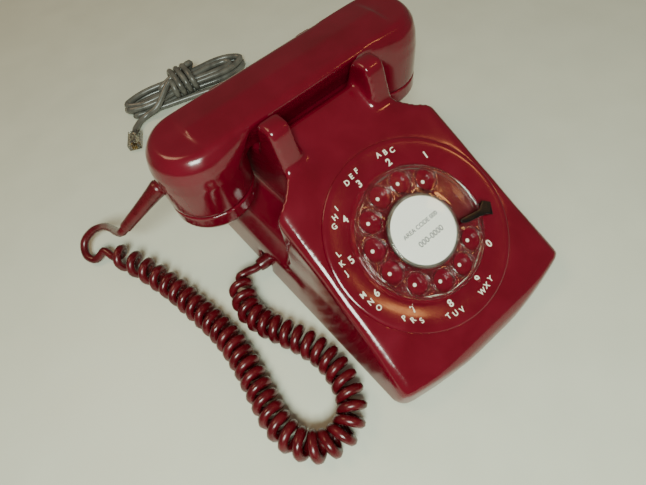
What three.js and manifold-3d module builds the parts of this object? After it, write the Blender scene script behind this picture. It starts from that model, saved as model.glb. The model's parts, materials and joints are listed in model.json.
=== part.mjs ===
// Rotary desk telephone: a moulded housing with a sloping face on a steel base, a dial with a
// clear finger wheel, a ringer, a hook switch, and a handset that rests across the cradle.
// Millimetres, +Z up, +X to the user's right, the dial faces -Y, and the feet stand on z = 0.
import * as THREE from 'three';
import { mergeVertices } from 'three/addons/utils/BufferGeometryUtils.js';
import Module from 'manifold-3d';

const wasm = await Module();
wasm.setup();

// ---------- driving dimensions ----------
// Clearance between pieces that touch.
const gap = 0.3;

// Housing. The sides lean in by frontLean at the lip and by shoulderLean at the shoulder.
const baseWidth = 156;
const baseDepth = 229;
const dialFromFront = 71;
const cradleFromBack = 35.5;
const housingWall = 2.8;
const housingBottom = 2;
const lipHeight = 19;
const frontLean = 3;
const shoulderLean = 8.5;
const shoulderRadius = 9;
const frontCornerRadius = 10;
const rearCornerRadius = 14;
const frontBow = 9;
const faceAngle = THREE.MathUtils.degToRad(30);
const faceRise = 1.2;
const dialHeight = 56.7;

// Base plate, feet and screws.
const footHeight = 3;
const footRadius = 8;
const footFromSide = 20;
const footFromFront = 27;
const footFromBack = 22;
const plateThickness = 1.6;
const plateClearance = 1.8;
const screwRadius = 1.9;
const bossRadius = 5;
const bossDepth = 10;

// Cradle. Heights are measured from the floor of the trough that the handle lies over.
const cradleHalfWidth = 45.8;
const hornReach = 53.5;
const hornThickness = 15.6;
const hornHeight = 30;
const rearHornDrop = 9;
const saddleDepth = 6;
const saddleDrop = 0.9;
const troughDepth = 13;
const troughFloorHalf = 21.5;
const troughTopHalf = 28.5;
const gripHalfWidth = 30;
const gripHeight = 26;
const gripDepth = 22;
const gripWall = 2.5;
const gripBelowFloor = 7;

// Dial, measured in its own tilted frame, where h = 0 is the plane of the dots.
const wheelRadius = 43.8;
const wheelThickness = 3;
const wheelTop = 6.5;
const wheelRim = 2.3;
const fingerHoleRadius = 7.3;
const firstHoleAngle = THREE.MathUtils.degToRad(44);
const holePitch = THREE.MathUtils.degToRad(30);
const fingerHoles = 10;
const ringRadius = 63.9;
const ringTop = 2.6;
const ringOverlap = 2.7;
const ringBore = 9;
const cardMargin = 4.6;
const shaftRadius = 4;
const gearModule = 1.05;
const mainTeeth = 48;
const pinionTeeth = 12;
const wormWheelTeeth = 20;

// Handset.
const cupClearance = 1.5;
const ledgeClearance = 3;
const handleClearance = 1.6;
const capRadius = 30.3;
const capHeight = 15;
const cupProud = 0.9;
const handsetHeight = 65;
const handleDepth = 25.4;
const handleHalfTop = 25;
const handleHalfBottom = 17;
const handsetWall = 3;

// Plungers and cords.
const plungerRadius = 4.5;
const plungerFromMiddle = 36;
const strandDiameter = 6.5;
const curlDiameter = 20.6;
const lineDiameter = 6.2;
const glandRadius = 5.8;
const cordHoleHeight = 10.4;
const handsetCordFromDial = 84;
const lineCordX = 15;

// ---------- derived places ----------
const halfWidth = baseWidth / 2;
const frontY = -baseDepth / 2;
const backY = baseDepth / 2;
const dialY = frontY + dialFromFront;
const cradleY = backY - cradleFromBack;
const hornFront = cradleY - hornReach;
const slope = Math.tan(faceAngle);
const faceAt = (y) => dialHeight + faceRise / Math.cos(faceAngle) + (y - dialY) * slope;
const saddleFront = cradleY - troughTopHalf - saddleDepth;
const saddleTop = faceAt(saddleFront) - saddleDrop;
const troughFloor = saddleTop - troughDepth;
const hornTop = troughFloor + hornHeight;
const handleBottom = troughFloor + handleClearance;
const handsetTop = handleBottom + handleDepth;
const capBottom = handsetTop - handsetHeight;
const ledgeHeight = capBottom - ledgeClearance;
const cupRadius = capRadius + cupProud;
const cupFromMiddle = cradleHalfWidth + cupClearance + cupRadius;
const ringOpening = ringRadius - ringOverlap;
const fingerHoleCircle = wheelRadius - wheelRim - fingerHoleRadius;
const cardRadius = fingerHoleCircle - fingerHoleRadius - cardMargin;
const plateBottom = footHeight;
const plateTop = plateBottom + plateThickness;

// ---------- solids ----------
const v2 = (x, y) => new THREE.Vector2(x, y);
const v3 = (x, y, z) => new THREE.Vector3(x, y, z);
const alongX = v3(1, 0, 0);
const alongY = v3(0, 1, 0);

function toSolid(geometry) {
  const plain = geometry.index ? geometry.clone() : geometry;
  plain.deleteAttribute('normal');
  plain.deleteAttribute('uv');
  const merged = mergeVertices(plain, 1e-4);
  return new wasm.Manifold(new wasm.Mesh({
    numProp: 3,
    vertProperties: new Float32Array(merged.attributes.position.array),
    triVerts: new Uint32Array(merged.index.array),
  }));
}

function toGeometry(solid) {
  const mesh = solid.getMesh();
  const geometry = new THREE.BufferGeometry();
  geometry.setAttribute('position', new THREE.BufferAttribute(mesh.vertProperties, 3));
  geometry.setIndex(new THREE.BufferAttribute(mesh.triVerts, 1));
  geometry.computeVertexNormals();
  return geometry;
}

const join = (...parts) => parts.reduce((sum, next) => sum.add(next));
const cut = (body, ...tools) => tools.reduce((left, tool) => left.subtract(tool), body);
const common = (...parts) => parts.reduce((left, next) => left.intersect(next));

function box(x0, x1, y0, y1, z0, z1) {
  const geometry = new THREE.BoxGeometry(x1 - x0, y1 - y0, z1 - z0);
  geometry.translate((x0 + x1) / 2, (y0 + y1) / 2, (z0 + z1) / 2);
  return toSolid(geometry);
}

// A closed outline raised from one level to another.
function raised(outline, from, to, curveSegments) {
  const shape = outline instanceof THREE.Shape ? outline : new THREE.Shape(outline);
  return new THREE.ExtrudeGeometry(shape, { depth: to - from, bevelEnabled: false, curveSegments });
}

// A closed outline in plan, given as (x, y).
function slab(outline, z0, z1) {
  const geometry = raised(outline, z0, z1, 12);
  geometry.translate(0, 0, z0);
  return toSolid(geometry);
}

// A closed outline seen from the side, given as (y, z), running from x0 to x1.
function sideSlab(outline, x0, x1) {
  const geometry = raised(outline, x0, x1, 10);
  geometry.applyMatrix4(new THREE.Matrix4().makeBasis(v3(0, 1, 0), v3(0, 0, 1), v3(1, 0, 0)));
  geometry.translate(x0, 0, 0);
  return toSolid(geometry);
}

// A closed outline seen from the front, given as (x, z), running from y0 to y1.
function frontSlab(outline, y0, y1) {
  const geometry = raised(outline, y0, y1, 10);
  geometry.applyMatrix4(new THREE.Matrix4().makeBasis(v3(1, 0, 0), v3(0, 0, 1), v3(0, -1, 0)));
  geometry.translate(0, y1, 0);
  return toSolid(geometry);
}

// The right half of an outline and its mirror image on the left.
const mirrored = (right) => [...right, ...right.map((point) => v2(-point.x, point.y)).reverse()];

// A turned piece: pairs of radius and height, turned about Z.
function turned(profile, segments = 48) {
  const points = profile.map(([radius, height]) => v2(radius, height));
  if (THREE.ShapeUtils.area(points) < 0) {
    points.reverse();
  }
  const closed = points[0].x === 0 && points[points.length - 1].x === 0;
  if (!closed) {
    points.push(points[0].clone());
  }
  const geometry = new THREE.LatheGeometry(points, segments);
  geometry.rotateX(Math.PI / 2);
  return toSolid(geometry);
}

const disc = (radius, z0, z1, segments = 32) => turned(
  [[0, z0], [radius, z0], [radius, z1], [0, z1]], segments);

const moved = (solid, x, y, z) => solid.translate([x, y, z]);

// A solid built along Z, laid along a direction and moved to a point.
function aimed(solid, direction, point) {
  const turn = new THREE.Matrix4().makeRotationFromQuaternion(
    new THREE.Quaternion().setFromUnitVectors(v3(0, 0, 1), direction.clone().normalize()));
  turn.setPosition(point);
  return solid.transform(turn.toArray());
}

// The plan of the base: a bowed front edge and rounded corners.
function basePlan(inset) {
  const halfX = halfWidth - inset;
  const y0 = frontY + inset;
  const y1 = backY - inset;
  const shape = new THREE.Shape();
  shape.moveTo(-halfX, y1 - rearCornerRadius);
  shape.lineTo(-halfX, y0 + frontBow + frontCornerRadius);
  shape.quadraticCurveTo(-halfX, y0 + frontBow, -halfX + frontCornerRadius, y0 + frontBow * 0.8);
  shape.quadraticCurveTo(0, y0 - frontBow * 0.8, halfX - frontCornerRadius, y0 + frontBow * 0.8);
  shape.quadraticCurveTo(halfX, y0 + frontBow, halfX, y0 + frontBow + frontCornerRadius);
  shape.lineTo(halfX, y1 - rearCornerRadius);
  shape.quadraticCurveTo(halfX, y1, halfX - rearCornerRadius, y1);
  shape.lineTo(-halfX + rearCornerRadius, y1);
  shape.quadraticCurveTo(-halfX, y1, -halfX, y1 - rearCornerRadius);
  return shape;
}

// Gear proportions, as shares of the module: a little clearance at the tips and the roots.
const addendum = 0.6;
const dedendum = 1.1;

// A gear blank with plain teeth. Its first tooth points along +X, or its first gap does.
function gear(teeth, z0, z1, toothFirst = true) {
  const pitchRadius = gearModule * teeth / 2;
  const tip = pitchRadius + addendum * gearModule;
  const root = pitchRadius - dedendum * gearModule;
  const pitch = 2 * Math.PI / teeth;
  const points = [];
  for (let tooth = 0; tooth < teeth; tooth += 1) {
    const middle = (tooth + (toothFirst ? 0 : 0.5)) * pitch;
    for (const [share, radius] of [[-0.26, root], [-0.1, tip], [0.1, tip], [0.26, root]]) {
      const angle = middle + share * pitch;
      points.push(v2(radius * Math.cos(angle), radius * Math.sin(angle)));
    }
  }
  return slab(points, z0, z1);
}

function sweep(points, diameter, steps, sides = 8) {
  const corners = [];
  for (let side = 0; side < sides; side += 1) {
    const angle = 2 * Math.PI * (side + 0.5) / sides;
    corners.push(v2(Math.cos(angle), Math.sin(angle)).multiplyScalar(diameter / 2));
  }
  const section = new THREE.Shape(corners);
  return toSolid(new THREE.ExtrudeGeometry(section, {
    steps, bevelEnabled: false, extrudePath: new THREE.CatmullRomCurve3(points),
  }));
}

// ---------- finishes ----------
const finish = (colour, roughness, metalness) => (
  new THREE.MeshStandardMaterial({ color: colour, roughness, metalness }));
const redPlastic = finish(0x7a1520, 0.2, 0);
const cordRed = finish(0x5e141d, 0.35, 0);
const clearPlastic = finish(0xd8cfc4, 0.08, 0);
const blackPlastic = finish(0x17181a, 0.35, 0);
const whiteCard = finish(0xeeeae0, 0.7, 0);
const greyVinyl = finish(0x77736e, 0.45, 0);
const zincSteel = finish(0x9a9a94, 0.35, 1);
const brass = finish(0xb08d4a, 0.35, 1);
const blackRubber = finish(0x222222, 0.8, 0);
const copperCoil = finish(0x7c3b20, 0.5, 0);

const telephone = new THREE.Group();
const dial = new THREE.Group();
dial.position.set(0, dialY, dialHeight);
dial.rotation.x = faceAngle;
telephone.add(dial);

function add(name, solid, material, parent = telephone) {
  const mesh = new THREE.Mesh(toGeometry(solid), material);
  mesh.name = name;
  parent.add(mesh);
}

// ---------- housing ----------
// Cutting blocks reach this far past the pieces that they trim.
const past = 10;
const cutFloor = -past;
const bottomOf = (inset) => (inset > 0 ? cutFloor : housingBottom);

// The wedge under the dial: its sides lean in as they rise, and its shoulders are bevelled along the
// slope of the face in two steps.
function wedge(inset) {
  const edge = halfWidth - inset;
  const sides = frontSlab(mirrored([
    v2(edge, bottomOf(inset)), v2(edge - frontLean, lipHeight), v2(edge - frontLean - 3.5, lipHeight + 17),
    v2(edge - shoulderLean, lipHeight + 41), v2(edge - shoulderLean - 1, hornTop),
  ]), frontY - past, backY + past);
  const faceNormal = v3(0, -Math.sin(faceAngle), Math.cos(faceAngle));
  const taper = Math.atan2((shoulderLean - frontLean) * Math.cos(faceAngle), 100);
  const rise = Math.sin(taper);
  const shoulderHalf = halfWidth - (frontLean + shoulderLean) / 2 - shoulderRadius;
  const cuts = [];
  for (const side of [-1, 1]) {
    const outward = v3(side * Math.cos(taper), rise * Math.cos(faceAngle), rise * Math.sin(faceAngle));
    const centre = v3(side * shoulderHalf, dialY, faceAt(dialY) - shoulderRadius / Math.cos(faceAngle));
    for (const tilt of [Math.PI / 6, Math.PI / 3]) {
      const normal = faceNormal.clone().multiplyScalar(Math.cos(tilt));
      normal.addScaledVector(outward, Math.sin(tilt));
      const start = centre.clone().addScaledVector(normal, shoulderRadius - inset);
      cuts.push(aimed(box(-300, 300, -300, 300, 0, 100), normal, start));
    }
  }
  return cut(sides, ...cuts);
}

// Seen from the side: front lip, sloping face, cradle trough and back wall.
function sideOutline(inset) {
  const lean = inset * slope;
  const faceStart = frontY + inset + 12;
  const trim = inset * 0.4;
  return [
    v2(frontY + inset, bottomOf(inset)),
    v2(frontY + inset + 1.5, lipHeight - 6),
    v2(frontY + inset + 5, lipHeight - inset),
    v2(faceStart, faceAt(faceStart) - inset - lean * 0.3),
    v2(saddleFront, saddleTop - inset * 1.2),
    v2(cradleY - troughTopHalf - trim, saddleTop - 2 - inset),
    v2(cradleY - troughFloorHalf - trim, troughFloor - inset),
    v2(cradleY + troughFloorHalf + trim, troughFloor - inset),
    v2(cradleY + troughTopHalf - 3, saddleTop - 3 - inset),
    v2(backY - 3 - inset, saddleTop - 5 - inset),
    v2(backY - inset, saddleTop - 14 - inset),
    v2(backY - inset, bottomOf(inset)),
  ];
}

function housingBody(inset) {
  const floor = bottomOf(inset);
  const plan = slab(basePlan(inset), floor, hornTop);
  const side = sideSlab(sideOutline(inset), -baseWidth, baseWidth);
  // In front, the shoulders turn in towards the cradle on a concave sweep.
  const neckHalf = cradleHalfWidth - inset;
  const neckWide = halfWidth - shoulderLean + 4 - inset;
  const neckStart = hornFront - 16;
  const neckEnd = hornFront + 2;
  const neck = new THREE.Shape();
  neck.moveTo(-baseWidth, frontY - past);
  neck.lineTo(baseWidth, frontY - past);
  neck.lineTo(baseWidth, neckStart);
  neck.lineTo(neckWide, neckStart);
  neck.quadraticCurveTo(neckHalf + 10, neckStart + 4, neckHalf, neckEnd);
  neck.lineTo(neckHalf, backY + past);
  neck.lineTo(-neckHalf, backY + past);
  neck.lineTo(-neckHalf, neckEnd);
  neck.quadraticCurveTo(-neckHalf - 10, neckStart + 4, -neckWide, neckStart);
  neck.lineTo(-baseWidth, neckStart);
  const front = common(plan, side, wedge(inset), slab(neck, floor, hornTop));
  // Below the handset's cups the sides spread to the full width of the base.
  const edge = halfWidth - inset;
  const flare = frontSlab(mirrored([
    v2(edge, floor), v2(edge - 4, ledgeHeight - 26 - inset * 0.5), v2(edge - 14, ledgeHeight - 10 - inset),
    v2(neckHalf, ledgeHeight - inset),
  ]), hornFront - 30, backY + past);
  const tower = box(-neckHalf, neckHalf, hornFront - past, backY + past, floor, hornTop);
  return join(front, common(plan, side, flare), common(plan, side, tower));
}

// The horns keep the handset in the trough, and their inner faces lean as the trough does.
const hornRoot = troughFloor - 5;
const rearHornTop = hornTop - rearHornDrop;
const frontHorn = [
  v2(hornFront, hornRoot), v2(hornFront, troughFloor + 1), v2(hornFront + 7.5, hornTop - 3),
  v2(hornFront + 10.5, hornTop), v2(cradleY - troughTopHalf - 4.5, hornTop),
  v2(cradleY - troughTopHalf, hornTop - 5), v2(cradleY - troughFloorHalf, troughFloor),
  v2(cradleY - troughFloorHalf, hornRoot),
];
const rearHorn = [
  v2(cradleY + troughFloorHalf, hornRoot - 2), v2(cradleY + troughFloorHalf, troughFloor),
  v2(cradleY + troughTopHalf - 1.5, rearHornTop - 4), v2(cradleY + troughTopHalf + 1.5, rearHornTop),
  v2(backY - 3, rearHornTop - 2), v2(backY - 1, rearHornTop - 10), v2(backY - 1, hornRoot - 2),
];
const horns = [];
for (const outline of [frontHorn, rearHorn]) {
  horns.push(sideSlab(outline, -cradleHalfWidth, hornThickness - cradleHalfWidth));
  horns.push(sideSlab(outline, cradleHalfWidth - hornThickness, cradleHalfWidth));
}

// The screw bosses run down from the roof, and from the hand grip, to just above the base plate.
const gripTop = troughFloor - gripBelowFloor;
const gripBottom = gripTop - gripHeight;
const bossPlaces = {
  front: { y: frontY + 14, top: faceAt(frontY + 14) - 2 },
  rear: { y: backY - 12, top: gripBottom - 1 },
};
const bosses = Object.values(bossPlaces).map(
  ({ y, top }) => moved(disc(bossRadius, plateTop + 1, top, 20), 0, y, 0));
const bossHoles = Object.values(bossPlaces).map(
  ({ y }) => moved(disc(screwRadius + 0.4, 0, plateTop + bossDepth + 1, 16), 0, y, 0));

const dialFrame = new THREE.Matrix4().makeRotationX(faceAngle).setPosition(0, dialY, dialHeight);
const dialOpening = disc(ringOpening, -16, 30, 48).transform(dialFrame.toArray());
const plungerHoles = [-1, 1].map((side) => moved(
  disc(plungerRadius + 0.5, troughFloor - 15, troughFloor + 15, 24), side * plungerFromMiddle, cradleY, 0));

// The notches for the two cords are open at the housing's lower edge.
const handsetCordY = dialY + handsetCordFromDial;
const notchHalf = glandRadius + 0.4;
const notchTop = cordHoleHeight + notchHalf;
const cordNotches = [
  box(-halfWidth - 5, -halfWidth + 12, handsetCordY - notchHalf, handsetCordY + notchHalf, 0, notchTop),
  box(lineCordX - notchHalf, lineCordX + notchHalf, backY - 12, backY + 5, 0, notchTop),
];

// Hand grip: a pocket in the back wall below the cradle, where fingers reach in to lift the telephone.
const gripPocket = box(-gripHalfWidth, gripHalfWidth, backY - gripDepth, backY + 5, gripBottom, gripTop);
const gripLining = box(
  -gripHalfWidth - gripWall, gripHalfWidth + gripWall, backY - gripDepth - gripWall, backY - 1,
  gripBottom - gripWall, gripTop + gripWall);

const shell = join(cut(housingBody(0), housingBody(housingWall)), ...horns, ...bosses);
const openShell = cut(shell, ...bossHoles, dialOpening, ...plungerHoles, ...cordNotches);
add('housing', cut(join(openShell, gripLining), gripPocket), redPlastic);

// ---------- base ----------
// The loudness wheel shows through a slot in the plate.
const loudness = { x: 44, y: dialY + 20, radius: 11, halfThickness: 2, teeth: 30 };
const loudnessHeight = plateBottom + loudness.radius - 2;
const slotHalf = loudness.halfThickness + 0.6;
const plateScrewHoles = Object.values(bossPlaces).map(
  ({ y }) => moved(disc(screwRadius + 0.5, 0, 10, 16), 0, y, 0));
const plateTrim = housingWall + plateClearance;
const basePlate = common(
  slab(basePlan(housingWall + 1), plateBottom, plateTop),
  box(-halfWidth + plateTrim, halfWidth - plateTrim, frontY, backY, 0, 10));
add('base_plate', cut(
  basePlate,
  ...plateScrewHoles,
  box(loudness.x - slotHalf, loudness.x + slotHalf, loudness.y - loudness.radius - 1,
    loudness.y + loudness.radius + 1, 0, 10)), zincSteel);

const footX = halfWidth - footFromSide;
const footPlaces = {
  foot_front_left: [-footX, frontY + footFromFront],
  foot_front_right: [footX, frontY + footFromFront],
  foot_rear_left: [-footX, backY - footFromBack],
  foot_rear_right: [footX, backY - footFromBack],
};
const foot = turned([
  [0, 0], [footRadius - 1, 0], [footRadius, 1], [footRadius, footHeight - gap], [0, footHeight - gap],
], 24);
for (const [name, [x, y]] of Object.entries(footPlaces)) {
  add(name, moved(foot, x, y, 0), blackRubber);
}
const screwHead = { radius: 4, bottom: 1.2 };
const screw = turned([
  [0, screwHead.bottom], [screwHead.radius, screwHead.bottom], [screwHead.radius, plateBottom - gap],
  [screwRadius, plateBottom - gap], [screwRadius, plateTop + bossDepth], [0, plateTop + bossDepth],
], 20);
for (const [name, { y }] of Object.entries(bossPlaces)) {
  add(`housing_screw_${name}`, moved(screw, 0, y, 0), zincSteel);
}

// ---------- dial, built flat in its own frame ----------
const bandStart = wheelRadius + 3.4;
add('number_ring', turned([
  [ringBore, 0], [wheelRadius + 1, 0], [bandStart, 0.7], [ringRadius - 5, ringTop - 0.4],
  [ringRadius - 1.6, ringTop], [ringRadius, ringTop - 0.5], [ringRadius, faceRise + gap],
  [ringOpening - 0.6, faceRise + gap], [ringOpening - 1, -0.4], [bandStart, -1.6], [ringBore, -1.6],
], 60), redPlastic, dial);

const wheelBottom = wheelTop - wheelThickness;
const bore = shaftRadius + gap;
const wheelHoles = [];
for (let hole = 0; hole < fingerHoles; hole += 1) {
  const angle = firstHoleAngle + hole * holePitch;
  const x = fingerHoleCircle * Math.cos(angle);
  const y = fingerHoleCircle * Math.sin(angle);
  wheelHoles.push(moved(disc(fingerHoleRadius, 0, 12, 20), x, y, 0));
}
add('finger_wheel', cut(turned([
  [bore, wheelBottom - 0.4], [12, wheelBottom - 0.4], [16, wheelBottom], [wheelRadius - 2.2, wheelBottom],
  [wheelRadius - 0.4, wheelBottom - 1.2], [wheelRadius, wheelBottom - 0.6], [wheelRadius, wheelTop - 1],
  [wheelRadius - 1, wheelTop], [bore, wheelTop],
], 60), ...wheelHoles), clearPlastic, dial);

// The stop is screwed to the ring outside the wheel and reaches in over it.
const stopAngle = -20;
const stopTip = fingerHoleCircle - 8.2;
const stopLow = wheelTop + 0.8;
const stopHigh = wheelTop + 2.4;
const stopFootBottom = ringTop - 0.2;
const stopBlade = slab([
  v2(stopTip, -3.2), v2(stopTip + 4, -4.2), v2(wheelRadius + 2.4, -2.6), v2(wheelRadius + 6, -4.5),
  v2(wheelRadius + 7.5, 4), v2(wheelRadius + 2, 6.5), v2(wheelRadius - 2, 1.6), v2(stopTip + 3, -0.4),
  v2(stopTip + 0.4, -0.8),
], stopLow, stopHigh);
const stopFoot = slab([
  v2(wheelRadius + 2, -3), v2(wheelRadius + 6.4, -4), v2(wheelRadius + 7.3, 3.6), v2(wheelRadius + 2, 6),
], stopFootBottom, stopHigh - 0.5);
add('finger_stop', join(stopBlade, stopFoot).rotate([0, 0, stopAngle]), blackPlastic, dial);

// The card lies on a metal holder, under a clear window.
const cardBottom = wheelTop + gap;
const holderTop = cardBottom + 0.6;
const cardLow = holderTop + gap;
const cardHigh = cardLow + 0.4;
const windowLow = cardHigh + gap;
add('card_holder', turned([
  [bore, cardBottom], [cardRadius + 1.5, cardBottom], [cardRadius + 1.5, holderTop], [bore, holderTop],
], 48), zincSteel, dial);
add('number_card', disc(cardRadius, cardLow, cardHigh, 48), whiteCard, dial);
add('card_window', turned([
  [0, windowLow], [cardRadius + 0.8, windowLow], [cardRadius + 0.8, cardLow], [cardRadius + 2.6, cardLow],
  [cardRadius + 2.2, windowLow + 0.6], [cardRadius, windowLow + 1.3], [0, windowLow + 1.7],
], 48), clearPlastic, dial);

// Behind the ring: the steel dial plate with its bush, the shaft, the mainspring and the gears.
const platePlane = -2.2;
const platePlaneBack = platePlane - 1.5;
const bushLength = 7;
const bushRadius = shaftRadius + 3;
const gearPlane = -12;
const gearThickness = 2;
const wormWheelPlane = -17.5;
add('dial_plate', turned([
  [bore, platePlane], [ringOpening - 5, platePlane], [ringOpening - 5, platePlaneBack],
  [bushRadius + 1, platePlaneBack], [bushRadius, platePlane - bushLength], [bore, platePlane - bushLength],
], 48), zincSteel, dial);
add('dial_shaft', disc(shaftRadius, -20, holderTop, 24), zincSteel, dial);
const mainGear = gear(mainTeeth, gearPlane, gearPlane + gearThickness);
add('main_gear', cut(mainGear, disc(bore, -20, 0, 24)), brass, dial);

const springTurns = 5;
const springPitch = 1.9;
const springStart = bushRadius + 1.2;
const springWire = { thickness: 0.8, height: 4 };
const springSteps = springTurns * 20;
const springSides = [[], []];
for (let step = 0; step <= springSteps; step += 1) {
  const turns = springTurns * step / springSteps;
  const angle = 2 * Math.PI * turns;
  springSides.forEach((side, index) => {
    const radius = springStart + springPitch * turns + index * springWire.thickness;
    side.push(v2(radius * Math.cos(angle), radius * Math.sin(angle)));
  });
}
const springTop = platePlaneBack - gap;
const springOutline = [...springSides[1], ...springSides[0].reverse()];
add('mainspring', slab(springOutline, springTop - springWire.height, springTop), zincSteel, dial);

// The intermediate shaft: its pinion meshes with the main gear, and its wheel turns the governor worm.
const trainDegrees = 60;
const trainAngle = THREE.MathUtils.degToRad(trainDegrees);
const trainRadius = gearModule * (mainTeeth + pinionTeeth) / 2;
const trainX = trainRadius * Math.cos(trainAngle);
const trainY = trainRadius * Math.sin(trainAngle);
const wormWheelThickness = 2.4;
const intermediate = join(
  gear(pinionTeeth, gearPlane - 0.4, gearPlane + gearThickness + 0.4, false),
  disc(2, wormWheelPlane - 5, platePlaneBack - gap, 16),
  gear(wormWheelTeeth, wormWheelPlane, wormWheelPlane + wormWheelThickness, false));
const meshed = intermediate.rotate([0, 0, 180 + trainDegrees]);
add('intermediate_gear', moved(meshed, trainX, trainY, 0), brass, dial);

// The governor lies beside the worm wheel, along the slope of the face.
const wormRadius = 3;
const grooveRadius = wormRadius - 1.2;
const governorShaft = 1.5;
const wormWheelTip = gearModule * (wormWheelTeeth / 2 + addendum);
const governorPlace = v3(
  trainX - wormWheelTip - wormRadius - 0.2, trainY, wormWheelPlane + wormWheelThickness / 2);
const threadPitch = Math.PI * gearModule;
const governorProfile = [[0, -14], [governorShaft, -14], [governorShaft, -3.2 * threadPitch]];
for (let thread = -3; thread < 3; thread += 1) {
  const start = thread * threadPitch;
  governorProfile.push(
    [grooveRadius, start], [wormRadius, start + 0.24 * threadPitch],
    [wormRadius, start + 0.42 * threadPitch], [grooveRadius, start + 0.66 * threadPitch]);
}
const weights = { radius: 6.5, start: 12, end: 18 };
governorProfile.push(
  [governorShaft, 3 * threadPitch], [governorShaft, weights.start], [weights.radius, weights.start],
  [weights.radius, weights.end], [governorShaft, weights.end], [governorShaft, weights.end + 3],
  [0, weights.end + 3]);
add('governor', aimed(turned(governorProfile, 14), alongY, governorPlace), brass, dial);
const cup = { inner: weights.radius + 0.9, outer: weights.radius + 2.1, end: weights.end + 2.4 };
add('governor_cup', aimed(turned([
  [cup.inner, weights.start - 1], [cup.outer, weights.start - 1], [cup.outer, cup.end],
  [governorShaft + 0.7, cup.end], [governorShaft + 0.7, cup.end - 1.2], [cup.inner, cup.end - 1.2],
], 28), alongY, governorPlace), zincSteel, dial);

// The pulse contacts stand by the intermediate shaft's lower end.
const contactPlane = wormWheelPlane - 5;
const contactY = trainY + 4;
const innerSpringX = trainX + 11;
const springSpacing = 4;
const outerSpringX = innerSpringX + springSpacing;
const pulseBlock = box(-3, 10, -12, -6, -4, 4);
const pulseSpring = box(-0.3, 0.3, -5.7, 12, -2, 2);
add('pulse_block', moved(pulseBlock, innerSpringX, contactY, contactPlane), blackPlastic, dial);
add('pulse_spring_inner', moved(pulseSpring, innerSpringX, contactY, contactPlane), brass, dial);
add('pulse_spring_outer', moved(pulseSpring, outerSpringX, contactY, contactPlane), brass, dial);

// Two brackets carry the dial plate from the base.
const bracketFrom = dialY - 34;
const bracketTo = dialY + 26;
const bracketX = 38;
const bracketSheet = 1.6;
const bracketFlange = 5;
const bracketFoot = plateTop + gap;
const plateUnder = (y) => dialHeight + (platePlaneBack - gap) / Math.cos(faceAngle) + (y - dialY) * slope;
for (const [name, side] of [['dial_bracket_left', -1], ['dial_bracket_right', 1]]) {
  const webX = side * bracketX;
  const flangeX = webX - side * bracketFlange;
  const web = sideSlab([
    v2(bracketFrom, bracketFoot), v2(bracketTo, bracketFoot), v2(bracketTo, plateUnder(bracketTo)),
    v2(bracketFrom, plateUnder(bracketFrom)),
  ], webX - bracketSheet / 2, webX + bracketSheet / 2);
  const flange = box(
    Math.min(webX, flangeX) - bracketSheet / 2, Math.max(webX, flangeX) + bracketSheet / 2,
    bracketFrom, bracketTo, bracketFoot, bracketFoot + bracketSheet);
  add(name, join(web, flange), zincSteel);
}

// ---------- ringer ----------
const ringerY = dialY + 66;
const gongRadius = 19;
const gongHeight = 34;
const gongs = { left: -50, right: -4 };
const clapperX = (gongs.left + gongs.right) / 2;
const frameSheet = 1.5;
const frameBottom = plateTop + gap;
const frameTop = frameBottom + frameSheet;
const frameBack = ringerY + 46;
const frameLeft = clapperX - 16;
const frameRight = clapperX + 16;
add('ringer_frame', join(
  box(gongs.left - 8, gongs.right + 8, ringerY - 8, ringerY + 8, frameBottom, frameTop),
  box(frameLeft, frameRight, ringerY, frameBack, frameBottom, frameTop),
  box(frameLeft, frameRight, frameBack - frameSheet, frameBack, frameBottom, frameBottom + 26)), zincSteel);
const postRadius = 3;
const postNeck = postRadius - 1.2;
const gongPost = turned([
  [0, frameTop + gap], [postRadius, frameTop + gap], [postRadius, gongHeight - 2], [postNeck, gongHeight - 2],
  [postNeck, gongHeight + 2.4], [postRadius + 0.4, gongHeight + 2.4], [postRadius + 0.4, gongHeight + 4],
  [0, gongHeight + 4],
], 20);
const gong = turned([
  [postNeck + 0.4, gongHeight - 1.4], [gongRadius - 7, gongHeight - 1.4], [gongRadius - 2, gongHeight - 5],
  [gongRadius - 1.2, gongHeight - 13], [gongRadius, gongHeight - 13], [gongRadius - 0.8, gongHeight - 4.4],
  [gongRadius - 6.4, gongHeight], [postNeck + 0.4, gongHeight],
], 40);
for (const [side, x] of Object.entries(gongs)) {
  add(`gong_post_${side}`, moved(gongPost, x, ringerY, 0), zincSteel);
  add(`gong_${side}`, moved(gong, x, ringerY, 0), zincSteel);
}
const coilFromMiddle = 8.5;
const coilHeight = frameBottom + 12;
const coil = turned([[0, 0], [8, 0], [8, 1.2], [7, 1.2], [7, 20], [8, 20], [8, 21.2], [0, 21.2]], 28);
for (const [side, x] of [['left', clapperX - coilFromMiddle], ['right', clapperX + coilFromMiddle]]) {
  add(`ringer_coil_${side}`, aimed(coil, alongY, v3(x, ringerY + 23, coilHeight)), copperCoil);
}

// The clapper swings on an upright axis between the coils and the gongs, and its ball hangs between them.
const clapperPivotY = ringerY + 16;
const clapperZ = frameBottom + 19;
const ballY = ringerY - 2;
const rodHalf = 0.9;
add('clapper', join(
  box(clapperX - 10, clapperX + 10, clapperPivotY - 1, clapperPivotY + 1.4, clapperZ - 4, clapperZ + 4),
  box(clapperX - rodHalf, clapperX + rodHalf, ballY, clapperPivotY, clapperZ - rodHalf, clapperZ + rodHalf),
  moved(disc(2.6, clapperZ - 3, clapperZ + 3, 20), clapperX, ballY, 0)), brass);

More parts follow.
